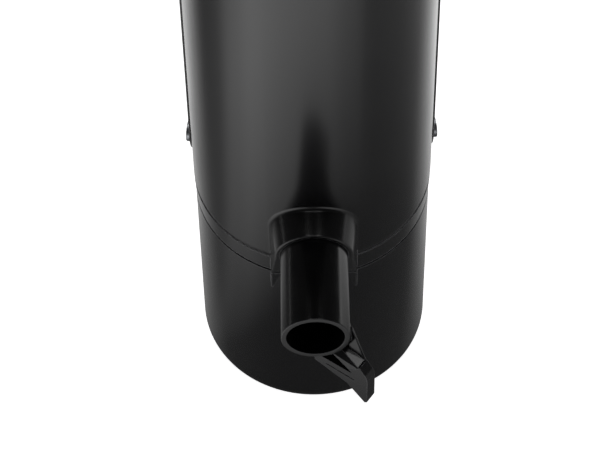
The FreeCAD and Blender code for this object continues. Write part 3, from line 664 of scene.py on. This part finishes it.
def graded_glow():
    """The card's print, as light: the far glow by heading and distance, plus the pale part behind."""
    material = bpy.data.materials.new("graded_glow")
    material.use_nodes = True
    tree = material.node_tree
    tree.nodes.clear()
    place = add_node(tree, "ShaderNodeTexCoord").outputs["Object"]
    x, y, z = add_node(tree, "ShaderNodeSeparateXYZ", links={0: place}).outputs
    ahead = add_node(tree, "ShaderNodeMath", {"operation": "MULTIPLY", 1: -1.0}, {0: y}).outputs[0]
    heading = add_node(tree, "ShaderNodeMath", {"operation": "ARCTAN2"}, {0: x, 1: ahead}).outputs[0]
    compass = add_node(tree, "ShaderNodeMapRange", {"From Min": -pi, "From Max": pi},
                       {"Value": heading}).outputs[0]
    lobe = add_node(tree, "ShaderNodeValToRGB", {}, {"Fac": compass})
    lobe.color_ramp.interpolation = "EASE"
    stops = lobe.color_ramp.elements
    while len(stops) < len(GLOW_HEADINGS):
        stops.new(0.5)
    for stop, (angle, strength) in zip(stops, GLOW_HEADINGS):
        stop.position = (angle + 180) / 360
        stop.color = (strength, strength, strength, 1.0)
    reach = add_node(tree, "ShaderNodeVectorMath", {"operation": "DISTANCE", 1: GLOW_MIDDLE},
                     {0: place}).outputs["Value"]
    far = add_node(tree, "ShaderNodeMapRange", {"From Min": GLOW_STARTS, "From Max": GLOW_FULL, "To Max": GLOW},
                   {"Value": reach}).outputs[0]
    glow = add_node(tree, "ShaderNodeMath", {"operation": "MULTIPLY"}, {0: lobe.outputs[0], 1: far}).outputs[0]
    wide = add_node(tree, "ShaderNodeMath", {"operation": "ABSOLUTE"}, {0: x}).outputs[0]
    wedge = add_node(tree, "ShaderNodeMath", {"operation": "MULTIPLY_ADD", 1: -0.5}, {0: wide, 2: y}).outputs[0]
    behind = add_node(tree, "ShaderNodeMapRange", {"From Min": WEDGE_STARTS, "From Max": WEDGE_FULL,
                                                   "To Min": SHADE, "To Max": BACK}, {"Value": wedge}).outputs[0]
    fade = add_node(tree, "ShaderNodeMapRange", {"From Min": LEFT_END, "From Max": 0.0, "To Min": LEFT_SHARE},
                    {"Value": x}).outputs[0]
    pale = add_node(tree, "ShaderNodeMath", {"operation": "MULTIPLY"}, {0: behind, 1: fade}).outputs[0]
    near = add_node(tree, "ShaderNodeMapRange", {"From Min": NEAR_ENDS, "From Max": FAR_STARTS, "To Min": 1.0,
                                                 "To Max": 0.0}, {"Value": reach}).outputs[0]
    mixed = add_node(tree, "ShaderNodeMix", {"data_type": "FLOAT"}, {0: near, 2: pale, 3: behind}).outputs[0]
    total = add_node(tree, "ShaderNodeMath", {"operation": "ADD"}, {0: glow, 1: mixed}).outputs[0]
    lamp = add_node(tree, "ShaderNodeEmission", {"Color": srgb("ffffff")}, {"Strength": total})
    add_node(tree, "ShaderNodeOutputMaterial", links={"Surface": lamp.outputs[0]})
    return material


def soft_box(name, at, aim, size, watts):
    """A square diffused lamp that the camera doesn't see, with its place and side in metres."""
    data = bpy.data.lights.new(name, "AREA")
    data.shape, data.size, data.energy = "SQUARE", size, watts
    lamp = bpy.data.objects.new(name, data)
    bpy.context.scene.collection.objects.link(lamp)
    lamp.location = at
    lamp.rotation_euler = (Vector(aim) - Vector(at)).to_track_quat("-Z", "Y").to_euler()
    lamp.visible_camera = False


def studio():
    """White paper floor, the card on it, a dim even sky and one soft box overhead."""
    bpy.ops.mesh.primitive_plane_add(size=12)
    floor = bpy.context.object
    floor.name = "floor"
    paper = start_material("white_paper", Base_Color=srgb("f6f6f6"), Roughness=0.9,
                           Emission_Color=srgb("ffffff"), Emission_Strength=1.0)
    floor.data.materials.append(paper[0])
    unseen_light_card()
    world = bpy.data.worlds.new("studio")
    bpy.context.scene.world = world
    world.use_nodes = True
    sky = world.node_tree.nodes["Background"]
    sky.inputs["Color"].default_value = srgb("ffffff")
    sky.inputs["Strength"].default_value = 0.06
    soft_box("box_overhead", (0.0, 0.45, 1.7), (0.0, 0.45, 0.0), 1.1, 14.0)


SEAM_Z = 60.0 * MM
LOOK_AT = Vector((-3.361 * MM, 0, SEAM_Z - 20.375 * MM))
DISTANCE = 0.7126                        # metres from there to the camera
AZIMUTH, PITCH, ROLL = radians(0.17), radians(55.13), radians(-1.112)
LENS_MM, SENSOR_MM = 163.4, 36.0


def place_camera():
    """Long lens from the front and well above, aimed just below the seam and rolled a degree."""
    back = Vector((sin(AZIMUTH) * cos(PITCH), -cos(AZIMUTH) * cos(PITCH), sin(PITCH)))
    right = (-back).cross(Vector((0, 0, 1))).normalized()
    up = right.cross(-back)
    side = right * cos(ROLL) + up * sin(ROLL)
    crown = up * cos(ROLL) - right * sin(ROLL)
    turn = Matrix((side, crown, back)).transposed()
    data = bpy.data.cameras.new("camera")
    data.lens, data.sensor_width = LENS_MM, SENSOR_MM
    data.clip_start, data.clip_end = 0.01, 50
    camera = bpy.data.objects.new("camera", data)
    bpy.context.scene.collection.objects.link(camera)
    camera.matrix_world = Matrix.Translation(LOOK_AT + back * DISTANCE) @ turn.to_4x4()
    bpy.context.scene.camera = camera


bpy.ops.object.select_all(action="DESELECT")
studio()
place_camera()
bpy.context.scene.view_settings.view_transform = "Standard"
